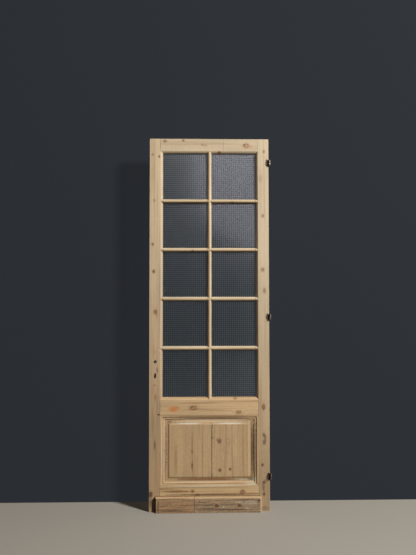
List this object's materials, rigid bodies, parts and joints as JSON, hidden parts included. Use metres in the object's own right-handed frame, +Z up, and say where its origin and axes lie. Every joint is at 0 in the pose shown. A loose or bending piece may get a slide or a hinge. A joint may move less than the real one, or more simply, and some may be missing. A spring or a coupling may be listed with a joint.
{
  "type": "half glazed pantry door leaf",
  "caption": "Stripped pine door leaf, half glazed with small panes of pressed glass over a raised and fielded panel, with a weatherboard and lift-off hinge halves.",
  "frame": {"origin": "on the face of the hinge edge, at mid thickness and at the leaf's foot", "axes": "+X out of the hinge edge, to the right as seen from the front; -Y towards the front; +Z up"},
  "size_m": [0.7747, 0.0726, 2.362],
  "materials": {
    "pine": "stripped, waxed pine",
    "weathered_pine": "darker weathered pine",
    "pressed_glass": "pressed with a small square grid",
    "hinge_iron": "dark painted iron"
  },
  "bodies": {
    "root": {"back_moulding_bottom": "pine", "back_moulding_left": "pine", "back_moulding_right": "pine", "back_moulding_top": "pine", "bottom_rail": "pine", "glass_1_left": "pressed_glass", "glass_1_right": "pressed_glass", "glass_2_left": "pressed_glass", "glass_2_right": "pressed_glass", "glass_3_left": "pressed_glass", "glass_3_right": "pressed_glass", "glass_4_left": "pressed_glass", "glass_4_right": "pressed_glass", "glass_5_left": "pressed_glass", "glass_5_right": "pressed_glass", "glazing_bar_1": "pine", "glazing_bar_2": "pine", "glazing_bar_3": "pine", "glazing_bar_4": "pine", "glazing_beads_1": "pine", "glazing_beads_2": "pine", "glazing_beads_3": "pine", "glazing_beads_4": "pine", "glazing_beads_5": "pine", "hinge_bottom": "hinge_iron", "hinge_middle": "hinge_iron", "hinge_stile": "pine", "hinge_top": "hinge_iron", "lock_rail": "pine", "lock_stile": "pine", "mullion": "pine", "panel_board_left": "pine", "panel_board_right": "pine", "panel_moulding_bottom": "pine", "panel_moulding_left": "pine", "panel_moulding_right": "pine", "panel_moulding_top": "pine", "top_rail": "pine", "weatherboard_long": "weathered_pine", "weatherboard_short": "weathered_pine", "wedges_hinge_side": "pine", "wedges_lock_side": "pine"}
  },
  "joints": []
}
